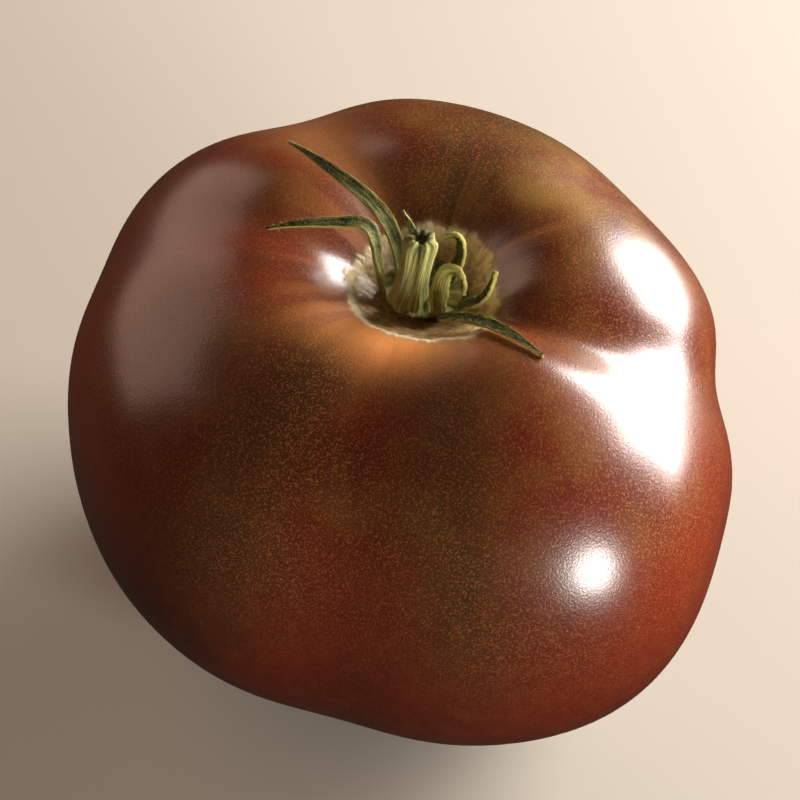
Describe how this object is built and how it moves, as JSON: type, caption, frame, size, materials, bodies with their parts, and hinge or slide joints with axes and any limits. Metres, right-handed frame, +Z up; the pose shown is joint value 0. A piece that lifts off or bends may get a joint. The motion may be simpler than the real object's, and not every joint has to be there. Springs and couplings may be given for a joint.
{
  "type": "tomato",
  "caption": "Whole dark heirloom beefsteak tomato, lobed and squat, with its dried calyx, curled sepals and a broken stem stub, resting on its blossom end.",
  "frame": {"origin": "bottom of the fruit where it rests, at the middle of the whole object's box in plan", "axes": "+Z up along the stem axis, -Y towards the viewer's side, where the sepal folded over beside the stem stub stands, +X to the right of it"},
  "size_m": [0.0769, 0.0788, 0.0615],
  "materials": {
    "skin": "smooth glossy skin, dark red-brown with green shoulders and fine gold flecks",
    "calyx": "dry fibrous green-grey",
    "stem": "dry ribbed pale green",
    "sepal": "dry matte leaf with pale fuzzy edges"
  },
  "bodies": {
    "root": {"fruit": "skin", "calyx_base": "calyx", "stem_stub": "stem", "sepal_back_left": "sepal", "sepal_left": "sepal", "sepal_front": "sepal", "sepal_right": "sepal", "sepal_back_right": "sepal", "sepal_back": "sepal", "sepal_low": "sepal"}
  },
  "joints": []
}
